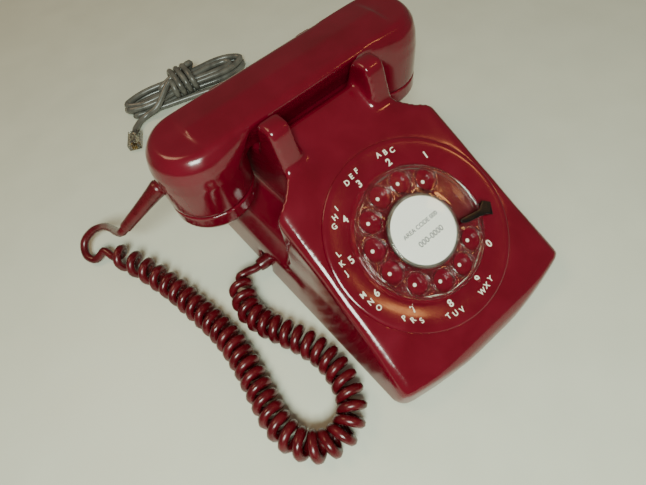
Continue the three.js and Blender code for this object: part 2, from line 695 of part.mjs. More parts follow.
// The loudness wheel: a milled thumb wheel on edge, its rim just below the plate.
const milled = [];
for (let step = 0; step < loudness.teeth * 2; step += 1) {
  const radius = step % 2 === 0 ? loudness.radius : loudness.radius - 0.7;
  const angle = Math.PI * step / loudness.teeth;
  milled.push(v2(loudness.y + radius * Math.cos(angle), loudnessHeight + radius * Math.sin(angle)));
}
add('loudness_wheel', sideSlab(
  milled, loudness.x - loudness.halfThickness, loudness.x + loudness.halfThickness), blackPlastic);

// ---------- network and hook switch ----------
const network = { x0: 22, x1: 64, y0: dialY + 58, y1: dialY + 118, top: 34 };
const networkCan = box(network.x0, network.x1, network.y0, network.y1, plateTop + gap, network.top);
add('network_can', networkCan, zincSteel);
const terminalRows = 6;
const terminalPitch = 9;
const terminals = [];
for (let row = 0; row < terminalRows; row += 1) {
  for (const x of [network.x0 + 6, network.x1 - 6]) {
    terminals.push(moved(
      disc(2.4, network.top + 1, network.top + 4, 8), x, network.y0 + 7 + row * terminalPitch, 0));
  }
}
const board = box(
  network.x0 + 1, network.x1 - 1, network.y0 + 1, network.y1 - 1, network.top + gap, network.top + 2.3);
add('terminal_board', join(board, ...terminals), blackPlastic);

// Lifting the handset lets both plungers rise, and the lever rocks up under them on its cross shaft.
const leverPivotY = cradleY - 22;
const leverZ = troughFloor - 15;
const leverHalf = 1;
const crossShaftHalf = 1.6;
const armHalf = 3;
const plungerBottom = leverZ + leverHalf + gap;
const bracketHalf = cradleHalfWidth - housingWall - 1.5;
const cheekSheet = 1.5;
const hookPlateBack = leverPivotY - 4.5;
const cheeks = [-1, 1].map((side) => {
  const cheekX = side * (bracketHalf - cheekSheet / 2);
  return box(cheekX - cheekSheet / 2, cheekX + cheekSheet / 2, hookPlateBack - cheekSheet, leverPivotY + 6,
    leverZ - 8, leverZ + 4);
});
add('hook_bracket', join(
  box(-bracketHalf, bracketHalf, hookPlateBack - cheekSheet, hookPlateBack, ledgeHeight + 2, leverZ + 4),
  ...cheeks), zincSteel);
const leverArms = [-1, 1].map((side) => box(
  side * plungerFromMiddle - armHalf, side * plungerFromMiddle + armHalf, leverPivotY - crossShaftHalf,
  cradleY + 1, leverZ - leverHalf, leverZ + leverHalf));
const crossShaftEnd = bracketHalf - cheekSheet - 1;
add('hook_lever', join(
  box(-crossShaftEnd, crossShaftEnd, leverPivotY - crossShaftHalf, leverPivotY + crossShaftHalf,
    leverZ - crossShaftHalf, leverZ + crossShaftHalf),
  ...leverArms), zincSteel);
add('hook_contacts', box(-12, 12, leverPivotY + 5, leverPivotY + 14, leverZ - 18, leverZ - 3), blackPlastic);
const plungerTop = handleBottom - gap;
const plunger = turned([
  [0, plungerBottom], [plungerRadius - 1.5, plungerBottom], [plungerRadius - 1.5, leverZ + 4],
  [plungerRadius, leverZ + 5], [plungerRadius, plungerTop - 1.5], [plungerRadius - 1.5, plungerTop],
  [0, plungerTop],
], 24);
add('plunger_left', moved(plunger, -plungerFromMiddle, cradleY, 0), clearPlastic);
add('plunger_right', moved(plunger, plungerFromMiddle, cradleY, 0), clearPlastic);

// ---------- handset ----------
function handsetBody(inset) {
  const top = handsetTop - inset;
  const bottomHalf = handleHalfBottom - inset;
  const topHalf = handleHalfTop - inset;
  const bar = sideSlab([
    v2(cradleY - bottomHalf, handleBottom + inset), v2(cradleY + bottomHalf, handleBottom + inset),
    v2(cradleY + topHalf - 3, handleBottom + 12), v2(cradleY + topHalf, top - 3),
    v2(cradleY + topHalf - 5, top - 0.5), v2(cradleY, top + 1.2), v2(cradleY - topHalf + 5, top - 0.5),
    v2(cradleY - topHalf, top - 3), v2(cradleY - topHalf + 3, handleBottom + 12),
  ], -cupFromMiddle, cupFromMiddle);
  const mouth = capBottom + capHeight + gap - (inset > 0 ? 4 : 0);
  const cupShell = turned([
    [0, mouth], [capRadius - inset, mouth], [cupRadius - 0.4 - inset, capBottom + 27],
    [cupRadius - inset, capBottom + 41], [cupRadius - 2.4 - inset, capBottom + 51],
    [cupRadius - 8 - inset, top - 4.5], [cupRadius - 17 - inset, top - 1], [0, top],
  ], 48);
  return join(bar, moved(cupShell, -cupFromMiddle, cradleY, 0), moved(cupShell, cupFromMiddle, cradleY, 0));
}

// The boot leaves the left cup low on its far side and points down and back.
const bootStart = v3(-cupFromMiddle - 27, cradleY + 13, capBottom + 28);
const bootEnd = v3(-cupFromMiddle - 64, cradleY + 25.5, capBottom + 1);
const bootDirection = bootEnd.clone().sub(bootStart).normalize();
const bootLength = bootEnd.distanceTo(bootStart);
const bootPlug = 5.4;
const bootHole = aimed(disc(bootPlug + 1.4, -12, 12, 16), bootDirection, bootStart);
add('handset_handle', cut(handsetBody(0), handsetBody(handsetWall), bootHole), redPlastic);
add('handset_boot', aimed(turned([
  [0, -8], [bootPlug, -8], [bootPlug, 2], [bootPlug + 0.9, 3], [bootPlug + 0.7, 6],
  [strandDiameter / 2 + 0.9, bootLength], [0, bootLength],
], 20), bootDirection, bootStart), cordRed);

// A screw-on cap over each cup, pierced for sound by rings of holes: pairs of count and radius.
function cap(holeRings) {
  const skirt = capRadius - 2.6;
  const body = turned([
    [0, capBottom + 1.5], [8, capBottom + 1], [capRadius - 6, capBottom], [capRadius - 2, capBottom + 1.6],
    [capRadius, capBottom + 5], [capRadius, capBottom + capHeight], [skirt, capBottom + capHeight],
    [skirt, capBottom + 6], [capRadius - 6, capBottom + 3], [0, capBottom + 3.6],
  ], 48);
  const holes = [];
  for (const [count, radius] of holeRings) {
    for (let hole = 0; hole < count; hole += 1) {
      const angle = 2 * Math.PI * hole / count;
      const soundHole = disc(1.3, capBottom - 2, capBottom + 6, 6);
      holes.push(moved(soundHole, radius * Math.cos(angle), radius * Math.sin(angle), 0));
    }
  }
  return cut(body, ...holes);
}
add('transmitter_cap', moved(cap([[1, 0], [8, 12]]), -cupFromMiddle, cradleY, 0), redPlastic);
add('receiver_cap', moved(cap([[1, 0], [6, 7]]), cupFromMiddle, cradleY, 0), redPlastic);

const capsuleBottom = capBottom + 4.4;
const transmitterHeight = 14;
const transmitterRadius = capRadius - 6.3;
add('transmitter_unit', moved(turned([
  [0, capsuleBottom], [transmitterRadius, capsuleBottom], [transmitterRadius, capsuleBottom + 6],
  [transmitterRadius - 8, capsuleBottom + transmitterHeight], [0, capsuleBottom + transmitterHeight],
], 36), -cupFromMiddle, cradleY, 0), zincSteel);
const contactsBottom = capsuleBottom + transmitterHeight + 0.6;
const contactsDisc = disc(transmitterRadius - 4, contactsBottom, contactsBottom + 5.4, 28);
add('transmitter_contacts', moved(contactsDisc, -cupFromMiddle, cradleY, 0), blackPlastic);
const receiverRadius = capRadius - 7.3;
add('receiver_unit', moved(turned([
  [0, capsuleBottom], [receiverRadius, capsuleBottom], [receiverRadius, capsuleBottom + 7],
  [receiverRadius - 8, capsuleBottom + 17], [0, capsuleBottom + 17],
], 36), cupFromMiddle, cradleY, 0), zincSteel);

// ---------- cords ----------
// The cords' points are plan coordinates about the dial's centre.
const route = (points) => points.map(([x, y, z]) => v3(x, dialY + y, z));
const low = strandDiameter / 2 + 0.1;
const curlHeight = curlDiameter / 2 + 0.1;
const leadPoints = route([
  [-142.8, 148.1, 57.77], [-146.6, 149.6, 54.8], [-149.6, 161, 46.5], [-152.2, 180, 34], [-157, 197, 24],
  [-166, 206.5, 18], [-177, 207.5, 12], [-182.4, 199.5, 6.4], [-179.6, 191.6, 4.2], [-173.6, 190.4, 6.2],
  [-168.6, 188.9, 9.4], [-165.72, 182.72, curlHeight],
]);
const curlPoints = route([
  [-165.4, 182], [-157, 163], [-148, 136], [-141.5, 108], [-137, 81], [-134, 55], [-135, 30], [-139, 4],
  [-142, -16], [-140, -33], [-131.5, -45], [-118.5, -49.5], [-106, -46], [-97, -36], [-92.5, -21],
  [-92, -5], [-96, 12], [-102, 28], [-108, 44], [-110, 60], [-104.5, 76],
].map(([x, y]) => [x, y, curlHeight]));
const tailPoints = route([
  [-104.34, 76.5, curlHeight], [-102.6, 81.6, 11], [-98, 85.4, 12.2], [-91.6, 85, 11.6],
  [-86.8, 84, cordHoleHeight], [-83.6, 84, cordHoleHeight],
]);
add('handset_cord_lead', sweep(leadPoints, strandDiameter, 44), cordRed);
add('handset_cord_curl', sweep(curlPoints, curlDiameter, 48, 10), cordRed);
add('handset_cord_tail', sweep(tailPoints, strandDiameter, 12), cordRed);

// Each gland is a grommet that tapers down to its cord just outside the housing.
function gland(cordDiameter, taper, length) {
  return turned([
    [0, 0], [cordDiameter / 2 + 1.4, 0], [glandRadius - 0.4, taper], [glandRadius - 0.4, length], [0, length],
  ], 20);
}
add('handset_cord_gland', aimed(
  gland(strandDiameter, 3.6, 12), alongX, v3(-halfWidth - 5.3, handsetCordY, cordHoleHeight)), cordRed);
add('line_cord_gland', aimed(
  gland(lineDiameter, 4.6, 14), v3(0, -1, 0), v3(lineCordX, backY + 5.6, cordHoleHeight)), greyVinyl);

const lineLow = lineDiameter / 2 + 0.1;
const linePoints = route([
  [15, 164, cordHoleHeight], [15, 169, 10], [15.8, 175, 7.6], [18, 184, 4.8], [23, 200, lineLow],
  [31, 222, lineLow], [39, 244, lineLow], [44, 266, lineLow], [44.5, 289, lineLow],
]);
add('line_cord_lead', sweep(linePoints, lineDiameter, 20), greyVinyl);
const [hankFrom, hankTo] = route([[-64, 335, 0], [45, 314, 0]]);
const hankHalf = 24;
const hankTop = 26;
const hankAngle = Math.atan2(hankTo.y - hankFrom.y, hankTo.x - hankFrom.x);
const hankShape = new THREE.Shape();
hankShape.absarc(hankTo.x, hankTo.y, hankHalf, hankAngle - Math.PI / 2, hankAngle + Math.PI / 2);
hankShape.absarc(hankFrom.x, hankFrom.y, hankHalf, hankAngle + Math.PI / 2, hankAngle + 1.5 * Math.PI);
add('line_cord_hank', slab(hankShape, 0.2, hankTop), greyVinyl);
const plugHeight = 5.2;
const endPoints = route([[-76.3, 313.6, 4], [-79.2, 308.6, 4.6], [-82.2, 303.4, plugHeight]]);
add('line_cord_tail', sweep(endPoints, lineDiameter, 8), greyVinyl);
const [plugPlace] = route([[-82.9, 302.2, plugHeight]]);
const plugTurn = -29;
const plug = join(box(-6, 6, -21, 0, -3.4, 3.4), box(-3, 3, -18, -4, 3.2, 5.4));
add('modular_plug', moved(
  plug.rotate([0, 0, plugTurn]), plugPlace.x, plugPlace.y, plugPlace.z), clearPlastic);

export default telephone;
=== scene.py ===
# %% [markdown]
# # A rotary desk telephone
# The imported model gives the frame: every part's place, every joint, every size. This lesson builds the
# looks around it, one piece at a time, in metres, with +Z up and the dial facing -Y.

# %% Load the frame
import json
import math

import bmesh
import bpy
from mathutils import Matrix, Vector


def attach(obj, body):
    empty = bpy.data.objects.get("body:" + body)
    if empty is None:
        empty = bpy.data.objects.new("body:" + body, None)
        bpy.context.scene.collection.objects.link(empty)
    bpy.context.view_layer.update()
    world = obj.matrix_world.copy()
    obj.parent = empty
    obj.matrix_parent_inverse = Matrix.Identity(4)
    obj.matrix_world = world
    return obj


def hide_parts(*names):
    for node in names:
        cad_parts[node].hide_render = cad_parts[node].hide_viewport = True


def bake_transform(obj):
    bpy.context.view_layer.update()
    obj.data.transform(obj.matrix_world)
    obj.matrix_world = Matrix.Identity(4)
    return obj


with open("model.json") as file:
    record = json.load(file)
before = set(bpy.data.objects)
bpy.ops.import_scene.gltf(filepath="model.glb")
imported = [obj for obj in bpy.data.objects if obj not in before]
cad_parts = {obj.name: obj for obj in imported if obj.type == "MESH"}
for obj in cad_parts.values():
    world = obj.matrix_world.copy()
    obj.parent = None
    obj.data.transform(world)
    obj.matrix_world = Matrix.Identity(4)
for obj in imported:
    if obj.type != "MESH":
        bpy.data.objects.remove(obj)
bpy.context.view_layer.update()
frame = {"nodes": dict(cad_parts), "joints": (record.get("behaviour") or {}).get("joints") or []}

MM = 0.001
joints = {joint["name"]: joint for joint in frame["joints"]}


def add_object(name, data):
    """A new object in the scene that shows this data."""
    made = bpy.data.objects.new(name, data)
    bpy.context.scene.collection.objects.link(made)
    return made



# %% [markdown]
# ## Camera
# A hand-held look down at the desk: close, from the front left, and a little rolled. A short lens close
# to the subject makes the near corner of the base look large. The roll turns the camera about its own
# line of sight.

# %% Camera
camera_place = Vector((-131.5, -154.6, 313.7)) * MM
camera_target = Vector((-43.9, 4.4, 40.0)) * MM
camera_roll = math.radians(-13.56)
lens_mm = 26.2

camera = add_object("camera", bpy.data.cameras.new("camera"))
camera.data.lens = lens_mm
camera.data.sensor_width = 36.0
camera.data.clip_start = 0.01
sight = camera_target - camera_place
upright = sight.to_track_quat("-Z", "Y").to_matrix().to_4x4()
camera.matrix_world = Matrix.Translation(camera_place) @ upright @ Matrix.Rotation(camera_roll, 4, "Z")
bpy.context.scene.camera = camera
print("camera stands", round(sight.length, 3), "m from its target")

# %% [markdown]
# ## Colours and nodes
# Paint charts and web colours are sRGB, and shader sockets want linear light, so one function converts.
# A second small function adds any shader node, sets its options and fills its sockets; where a value is
# another node's output, it makes a link.


# %% Colour and node helpers
def linear(code):
    """An sRGB hex code as linear red, green, blue and alpha."""
    channels = [int(code[i:i + 2], 16) / 255 for i in (1, 3, 5)]
    return [c / 12.92 if c <= 0.04045 else ((c + 0.055) / 1.055) ** 2.4 for c in channels] + [1.0]


def add_node(tree, kind, options=None, inputs=None):
    """Adds one node. Options are its own settings, and inputs are socket values or outputs to link."""
    made = tree.nodes.new(kind)
    for name, value in (options or {}).items():
        setattr(made, name, value)
    for name, value in (inputs or {}).items():
        if isinstance(value, bpy.types.NodeSocket):
            tree.links.new(value, made.inputs[name])
        else:
            made.inputs[name].default_value = value
    return made


def finish(name, surface):
    """A material whose surface function fills its node tree and returns the shader output."""
    material = bpy.data.materials.new(name)
    material.use_nodes = True
    tree = material.node_tree
    tree.nodes.clear()
    shader = surface(tree)
    add_node(tree, "ShaderNodeOutputMaterial", inputs={"Surface": shader})
    return material


def grains(tree, size_mm, detail=2.0, distortion=0.0):
    """Noise whose grains are about size_mm across."""
    place = add_node(tree, "ShaderNodeTexCoord").outputs["Object"]
    return add_node(tree, "ShaderNodeTexNoise", inputs={
        "Vector": place, "Scale": 1 / (size_mm * MM), "Detail": detail, "Distortion": distortion,
    }).outputs["Fac"]


def spread(tree, factor, low, high, start=0.35, end=0.65):
    """Maps a factor from start..end to low..high."""
    return add_node(tree, "ShaderNodeMapRange", inputs={
        "Value": factor, "From Min": start, "From Max": end, "To Min": low, "To Max": high,
    }).outputs["Result"]


# %% [markdown]
# ## The red housing plastic
# The housing and the handset are polished ABS, injection moulded in maroon. The eye reads it from three
# things: a deep colour with hardly any grain, sharp reflections that waver a little because a moulded
# face is never quite flat, and a veil of fine scratches and dust that dulls the polish in patches.


# %% Moulded ABS
def maroon_abs(tree):
    wear = grains(tree, 22, detail=6, distortion=0.4)
    dust = grains(tree, 0.9, detail=3)
    colour = add_node(tree, "ShaderNodeMix", {"data_type": "RGBA"}, {
        "Factor": spread(tree, wear, 0.0, 1.0, 0.3, 0.75), "A": linear("#5F0518"), "B": linear("#6A0A1F"),
    }).outputs["Result"]
    rough = add_node(tree, "ShaderNodeMath", {"operation": "ADD"}, {
        0: spread(tree, wear, 0.10, 0.20), 1: spread(tree, dust, 0.0, 0.05, 0.5, 0.8),
    }).outputs["Value"]
    waver = add_node(tree, "ShaderNodeBump", inputs={
        "Height": grains(tree, 14, detail=1), "Strength": 0.12, "Distance": 0.4 * MM,
    }).outputs["Normal"]
    return add_node(tree, "ShaderNodeBsdfPrincipled", inputs={
        "Base Color": colour, "Roughness": rough, "Normal": waver, "IOR": 1.53,
        "Coat Weight": 0.25, "Coat Roughness": 0.06,
    }).outputs["BSDF"]


abs_red = finish("moulded_abs_maroon", maroon_abs)

# %% [markdown]
# ## Cord jackets
# The curly cord is extruded PVC, softer and duller than the housing. The line cord is the same stuff in
# grey, handled for years, so it has a faint blotch of dirt.


# %% Extruded PVC
def pvc(dark, light, rough_low, rough_high):
    def surface(tree):
        blotch = grains(tree, 9, detail=4)
        colour = add_node(tree, "ShaderNodeMix", {"data_type": "RGBA"}, {
            "Factor": spread(tree, blotch, 0.0, 1.0), "A": linear(dark), "B": linear(light),
        }).outputs["Result"]
        skin = add_node(tree, "ShaderNodeBump", inputs={
            "Height": grains(tree, 0.7), "Strength": 0.15, "Distance": 0.1 * MM,
        }).outputs["Normal"]
        return add_node(tree, "ShaderNodeBsdfPrincipled", inputs={
            "Base Color": colour, "Roughness": spread(tree, blotch, rough_low, rough_high),
            "Normal": skin, "IOR": 1.52,
        }).outputs["BSDF"]
    return surface


pvc_red = finish("extruded_pvc_maroon", pvc("#4A0610", "#5C0A16", 0.2, 0.32))
pvc_grey = finish("extruded_pvc_grey", pvc("#4E4C48", "#66635D", 0.22, 0.34))

# %% [markdown]
# ## Clear parts
# The finger wheel is clear acrylic: no colour of its own, an IOR of 1.49, and fine swirls where fingers
# have rubbed it. The window over the card is so thin that most light goes straight through it, which alpha
# stands for. The modular plug is polycarbonate, a little cloudier.


# %% Clear acrylic and polycarbonate
def clear(tint, rough_low, rough_high, ior, alpha):
    def surface(tree):
        rub = grains(tree, 6, detail=5, distortion=1.2)
        return add_node(tree, "ShaderNodeBsdfPrincipled", inputs={
            "Base Color": linear(tint), "Roughness": spread(tree, rub, rough_low, rough_high),
            "IOR": ior, "Transmission Weight": 1.0, "Alpha": alpha,
        }).outputs["BSDF"]
    return surface


acrylic = finish("cast_acrylic_clear", clear("#FFFDFA", 0.0, 0.04, 1.49, 0.72))
thin_acrylic = finish("thin_acrylic_window", clear("#FFFFFF", 0.0, 0.03, 1.49, 0.3))
polycarbonate = finish("moulded_polycarbonate_clear", clear("#E9E6DE", 0.04, 0.12, 1.58, 0.9))

# %% [markdown]
# ## Metals, card, ink and rubber
# The rest are small: a black painted stop, white ink, card stock, zinc plate on the base, brass gears,
# varnished copper coils and black neoprene feet. A metal keeps the default IOR, and its tone comes from
# its base colour.


# %% Plain finishes
def plain(colours, rough, metallic=0.0, grain_mm=1.0, bump=0.1, depth_mm=0.1):
    def surface(tree):
        grain = grains(tree, grain_mm, detail=4)
        colour = add_node(tree, "ShaderNodeMix", {"data_type": "RGBA"}, {
            "Factor": spread(tree, grain, 0.0, 1.0), "A": linear(colours[0]), "B": linear(colours[1]),
        }).outputs["Result"]
        texture = add_node(tree, "ShaderNodeBump", inputs={
            "Height": grain, "Strength": bump, "Distance": depth_mm * MM,
        }).outputs["Normal"]
        return add_node(tree, "ShaderNodeBsdfPrincipled", inputs={
            "Base Color": colour, "Roughness": spread(tree, grain, *rough), "Metallic": metallic,
            "Normal": texture,
        }).outputs["BSDF"]
    return surface


black_enamel = finish("black_enamel", plain(("#08080A", "#0C0C0E"), (0.12, 0.2), grain_mm=6, bump=0.01))
black_phenolic = finish("moulded_phenolic_black", plain(("#151413", "#201E1C"), (0.35, 0.5)))
white_ink = finish("white_printing_ink", plain(("#E2DCCB", "#EFEADB"), (0.45, 0.6), grain_mm=0.6))
dark_ink = finish("dark_printing_ink", plain(("#19181D", "#26252B"), (0.6, 0.75), grain_mm=0.4))
card_stock = finish("printed_card_stock", plain(("#F3EFE8", "#FBF8F3"), (0.6, 0.8), grain_mm=0.5))
zinc_plate = finish("zinc_plated_steel", plain(("#8E8F8B", "#A5A6A0"), (0.28, 0.46), 1.0, grain_mm=5))
gong_steel = finish("nickel_plated_steel", plain(("#A8A49B", "#B8B5AC"), (0.12, 0.22), 1.0, grain_mm=8))
brass = finish("machined_brass", plain(("#A8863F", "#BE9A4E"), (0.22, 0.35), 1.0, grain_mm=2))
varnished_copper = finish("varnished_copper_wire", plain(
    ("#6E3316", "#8A4520"), (0.25, 0.4), grain_mm=0.4, bump=0.6))
neoprene = finish("moulded_neoprene_black", plain(
    ("#161616", "#242322"), (0.65, 0.85), grain_mm=0.8, bump=0.4))

# %% [markdown]
# ## Dress the carried-over parts
# Some machined and pressed parts inside are already the right shape, so they only get their finish.

# %% Finishes of the carried-over parts
carried_finishes = {
    zinc_plate: ["base_plate", "dial_plate", "governor_cup", "dial_bracket_left", "dial_bracket_right",
                 "ringer_frame", "network_can", "hook_bracket", "hook_lever", "card_holder", "mainspring",
                 "transmitter_unit", "receiver_unit", "gong_post_left", "gong_post_right", "dial_shaft",
                 "housing_screw_front", "housing_screw_rear"],
    gong_steel: ["gong_left", "gong_right"],
    brass: ["main_gear", "intermediate_gear", "governor", "clapper", "pulse_spring_inner",
            "pulse_spring_outer"],
    varnished_copper: ["ringer_coil_left", "ringer_coil_right"],
    black_phenolic: ["terminal_board", "hook_contacts", "transmitter_contacts", "pulse_block",
                     "loudness_wheel"],
    neoprene: ["foot_front_left", "foot_front_right", "foot_rear_left", "foot_rear_right"],
    acrylic: ["plunger_left", "plunger_right"],
}
for material, names in carried_finishes.items():
    for name in names:
        piece = frame["nodes"][name]
        piece.data.materials.clear()
        piece.data.materials.append(material)
print("dressed", sum(len(names) for names in carried_finishes.values()), "carried-over parts")


# %% [markdown]
# ## Making a piece
# Each new piece starts as a bmesh. One function turns it into an object with its finish, its body and
# the parts that it stands for.


# %% From bmesh to piece
def mesh_data(name, mesh):
    """Writes a bmesh into new mesh data and frees it."""
    data = bpy.data.meshes.new(name)
    mesh.to_mesh(data)
    mesh.free()
    return data


def shade_smooth(data, sharp_degrees=None):
    """Smooth shading, with edges steeper than sharp_degrees kept sharp."""
    for face in data.polygons:
        face.use_smooth = True
    if sharp_degrees is not None:
        data.set_sharp_from_angle(angle=math.radians(sharp_degrees))


def make_piece(name, mesh, material, body, stands_for=(), smooth_angle=40):
    data = mesh_data(name, mesh)
    piece = add_object(name, data)
    data.materials.append(material)
    shade_smooth(data, smooth_angle)
    if body:
        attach(piece, body)
    if stands_for:
        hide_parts(*stands_for)
    return piece


def modify(piece, kind, **settings):
    modifier = piece.modifiers.new(kind.lower(), kind)
    for name, value in settings.items():
        setattr(modifier, name, value)
    return modifier


def apply_modifiers(piece):
    """Turns the modified shape into the mesh itself."""
    graph = bpy.context.evaluated_depsgraph_get()
    graph.update()
    shaped = bpy.data.meshes.new_from_object(piece.evaluated_get(graph))
    piece.modifiers.clear()
    piece.data = shaped
    return piece


def turned(profile, segments=96, close=False):
    """A turned shape: (radius, height) pairs in millimetres, spun about Z with bmesh's spin."""
    mesh = bmesh.new()
    points = [mesh.verts.new((radius * MM, 0, height * MM)) for radius, height in profile]
    edges = [mesh.edges.new(pair) for pair in zip(points, points[1:])]
    if close:
        edges.append(mesh.edges.new((points[-1], points[0])))
    bmesh.ops.spin(mesh, geom=points + edges, cent=(0, 0, 0), axis=(0, 0, 1), angle=2 * math.pi,
                   steps=segments, use_merge=True)
    bmesh.ops.remove_doubles(mesh, verts=mesh.verts, dist=1e-6)
    bmesh.ops.dissolve_degenerate(mesh, edges=mesh.edges, dist=1e-7)
    bmesh.ops.recalc_face_normals(mesh, faces=mesh.faces)
    return mesh


def placed(mesh, matrix):
    bmesh.ops.transform(mesh, matrix=matrix, verts=mesh.verts)
    return mesh


# %% [markdown]
# ## Smooth routes
# A cord's route is a handful of points that a person would mark with a finger on the desk. A Catmull-Rom
# curve passes through them all, and even steps along it keep the cord's mesh regular.


# %% Routes
def smooth_route(points, step_mm):
    """Points along a smooth curve through the given ones, step_mm apart."""
    ends = [points[0] * 2 - points[1], *points, points[-1] * 2 - points[-2]]
    fine = []
    for a, b, c, d in zip(ends, ends[1:], ends[2:], ends[3:]):
        for part in range(40):
            t = part / 40
            fine.append(0.5 * ((2 * b) + (c - a) * t + (2 * a - 5 * b + 4 * c - d) * t ** 2
                               + (3 * b - a - 3 * c + d) * t ** 3))
    fine.append(points[-1])
    return even_steps(fine, step_mm)


def even_steps(line, step_mm):
    lengths = [0.0]
    for a, b in zip(line, line[1:]):
        lengths.append(lengths[-1] + (b - a).length)
    count = max(2, round(lengths[-1] / (step_mm * MM)))
    result, at = [], 0
    for index in range(count + 1):
        wanted = lengths[-1] * index / count
        while at < len(line) - 2 and lengths[at + 1] < wanted:
            at += 1
        span = lengths[at + 1] - lengths[at]
        result.append(line[at].lerp(line[at + 1], (wanted - lengths[at]) / span if span else 0.0))
    return result


def route_length(line):
    return sum((b - a).length for a, b in zip(line, line[1:]))


DIAL_Y = joints["dial_turn"]["pos_m"][1] / MM


def desk_route(points):
    """Points given in millimetres from below the dial's centre, as places in the frame."""
    return [Vector((x, DIAL_Y + y, z)) * MM for x, y, z in points]


def cord_curve(name, line, diameter, material, sides=3):
    """A round cord as a curve with one open spline."""
    curve = bpy.data.curves.new(name, "CURVE")
    curve.dimensions = "3D"
    curve.bevel_depth = diameter / 2
    curve.bevel_resolution = sides
    curve.use_fill_caps = True
    spline = curve.splines.new("POLY")
    spline.points.add(len(line) - 1)
    for point, place in zip(spline.points, line):
        point.co = (*place, 1.0)
    spline.use_smooth = True
    curve.materials.append(material)
    return add_object(name, curve)


# %% [markdown]
# ## Moulded shells
# Housing and handset are injection moulded. A mould's edges are all rounded, so that the plastic flows
# and lets go, and its faces are polished. Each shell starts from a merged copy of its solid. A remesh
# turns it into small even cells, and smoothing relaxes them, which rounds each edge by about a cell's
# width a few times over and leaves flat faces flat.


# %% Moulded shell helper
def moulded(name, node, material, body, cell_mm, passes, extra=()):
    mesh = bmesh.new()
    mesh.from_mesh(frame["nodes"][node].data)
    bmesh.ops.remove_doubles(mesh, verts=mesh.verts, dist=1e-6)
    for added in extra:
        mesh.from_mesh(added)
    piece = make_piece(name, mesh, material, body, (node,), smooth_angle=180)
    modify(piece, "REMESH", mode="VOXEL", voxel_size=cell_mm * MM, use_smooth_shade=True)
    modify(piece, "SMOOTH", factor=0.5, iterations=passes)
    apply_modifiers(piece)
    print(name, len(piece.data.polygons), "faces")
    return piece


# %% Housing
housing_shell = moulded("housing_shell", "housing", abs_red, "root", cell_mm=1.55, passes=18)

# %% [markdown]
# ## Handset
# The body is one moulding whose handle flows into two cups, and a cap with sound holes screws on to each.
# The seam between cap and cup stays a fine dark line.

# %% Blends between handle and cups
CUP_MIDDLE, CRADLE_Y = 78.5, 79.0
HANDLE_END = 47.5


def shoulder(side):
    """A convex skin from the end of the handle over the top of one cup."""
    mesh = bmesh.new()
    for radius, height in ((31.0, 97), (30.6, 106), (28.6, 114), (25, 119), (21.5, 121.4)):
        bmesh.ops.create_circle(mesh, cap_ends=False, segments=40, radius=radius * MM,
                                matrix=Matrix.Translation(Vector((side * CUP_MIDDLE, CRADLE_Y, height)) * MM))
    for across, height in ((17.5, 97.5), (24.6, 117), (22, 121.4)):
        for way in (-1, 1):
            mesh.verts.new(Vector((side * HANDLE_END, CRADLE_Y + way * across, height)) * MM)
    hull = bmesh.ops.convex_hull(mesh, input=mesh.verts)
    inside = [part for part in hull["geom_interior"] if isinstance(part, bmesh.types.BMVert)]
    bmesh.ops.delete(mesh, geom=inside, context="VERTS")
    bmesh.ops.recalc_face_normals(mesh, faces=mesh.faces)
    return mesh_data("shoulder", mesh)


# %% Handset body and caps
handset_body = moulded("handset_body", "handset_handle", abs_red, "handset",
                       cell_mm=1.0, passes=18, extra=[shoulder(-1), shoulder(1)])
CAP_CELL_MM, CAP_PASSES = 0.8, 5
mouth_cap = moulded("mouth_cap", "transmitter_cap", abs_red, "handset",
                    CAP_CELL_MM, CAP_PASSES)
ear_cap = moulded("ear_cap", "receiver_cap", abs_red, "handset",
                  CAP_CELL_MM, CAP_PASSES)

# %% [markdown]
# ## Cord boot and glands
# Soft PVC sleeves keep a cord from kinking where it enters. They are turned shapes: a cone from the
# handset, and a short grommet at each hole in the housing.


# %% Boot and glands
def toward(start, end):
    """The placing that lays a shape built along +Z from start towards end, in millimetres."""
    direction = Vector(end) - Vector(start)
    return Matrix.Translation(Vector(start) * MM) @ direction.to_track_quat("Z", "Y").to_matrix().to_4x4()


def sleeve(name, profile, start, end, material, body, node):
    mesh = placed(turned(profile, 48), toward(start, end))
    piece = make_piece(name, mesh, material, body, (node,), smooth_angle=50)
    modify(piece, "BEVEL", width=0.35 * MM, segments=3, limit_method="ANGLE", angle_limit=math.radians(25))
    return piece


boot_start, boot_end = (-105.5, 92, 85), (-142.5, 104.5, 58)
boot_length = (Vector(boot_end) - Vector(boot_start)).length
cord_boot = sleeve("cord_boot", [
    (0, -8), (5.4, -8), (5.4, 2), (6.25, 3.2), (6.3, 5), (5.9, 9), (5.3, 18), (4.75, 30),
    (4.2, boot_length - 1), (3.9, boot_length), (0, boot_length),
], boot_start, boot_end, pvc_red, "handset", "handset_boot")
grommet = [(0, 0), (4.65, 0), (4.85, 0.8), (5.4, 3.6), (5.4, 12), (0, 12)]
cord_grommet = sleeve("cord_grommet", grommet, (-83.3, 40.5, 10.4), (-71.3, 40.5, 10.4), pvc_red, "root",
                      "handset_cord_gland")
line_grommet = sleeve("line_grommet", [(0, 0), (4.5, 0), (5.4, 4.6), (5.4, 14), (0, 14)],
                      (15, 120.1, 10.4), (15, 106.1, 10.4), pvc_grey, "root", "line_cord_gland")

# %% [markdown]
# ## Number ring
# A moulded disc, nearly flush with the housing: flat under the wheel, then a shallow cone that carries
# the numbers, then a rounded rim. It is turned from its section. All the dial's shapes are built flat
# about Z and then tipped back to the slope of the face.

